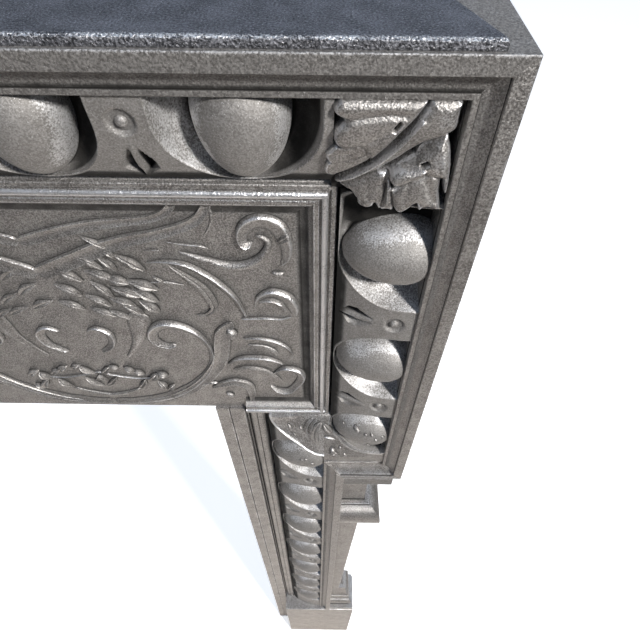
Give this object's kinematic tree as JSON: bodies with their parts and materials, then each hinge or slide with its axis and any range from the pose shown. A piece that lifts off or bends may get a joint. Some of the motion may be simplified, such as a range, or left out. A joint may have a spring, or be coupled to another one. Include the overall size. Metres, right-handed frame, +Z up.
{
  "type": "fireplace surround",
  "caption": "Cast-iron fireplace surround with eared corners, egg-and-dart bands, a scrolled relief frieze, tapered side pilasters and square plinths round a rectangular opening.",
  "frame": {"origin": "on the floor, midway across and midway between the front faces and the wall", "axes": "+X to the right seen from the front, +Y back into the wall, +Z up; the fire opening runs along Y"},
  "size_m": [0.992, 0.046, 0.978],
  "materials": {
    "front_iron": "burnished cast iron, satin, dark in the hollows",
    "back_iron": "raw cast iron, dull",
    "fixings": "plain steel screws"
  },
  "bodies": {
    "root": {"top_rail": "front_iron", "ear_rail_left": "front_iron", "ear_rail_right": "front_iron", "ear_return_left": "front_iron", "ear_return_right": "front_iron", "leg_rail_left": "front_iron", "leg_rail_right": "front_iron", "egg_band_top": "front_iron", "egg_band_ear_left": "front_iron", "egg_band_ear_right": "front_iron", "egg_band_leg_left": "front_iron", "egg_band_leg_right": "front_iron", "corner_leaf_left": "front_iron", "corner_leaf_right": "front_iron", "ear_leaf_left": "front_iron", "ear_leaf_right": "front_iron", "frieze_panel": "front_iron", "panel_bead_top": "front_iron", "panel_bead_left": "front_iron", "panel_bead_right": "front_iron", "bead_return_left": "front_iron", "bead_return_right": "front_iron", "leg_bead_left": "front_iron", "leg_bead_right": "front_iron", "slip_left": "front_iron", "slip_right": "front_iron", "capital_left": "front_iron", "capital_right": "front_iron", "shaft_left": "front_iron", "shaft_right": "front_iron", "pilaster_base_left": "front_iron", "pilaster_base_right": "front_iron", "plinth_left": "front_iron", "plinth_right": "front_iron", "cap_plate": "back_iron", "head_plate": "back_iron", "leg_plate_left": "back_iron", "leg_plate_right": "back_iron", "joint_strap_left": "back_iron", "joint_strap_right": "back_iron", "wall_lug_left": "back_iron", "wall_lug_right": "back_iron", "strap_screws": "fixings", "rail_screws": "fixings"}
  },
  "joints": []
}
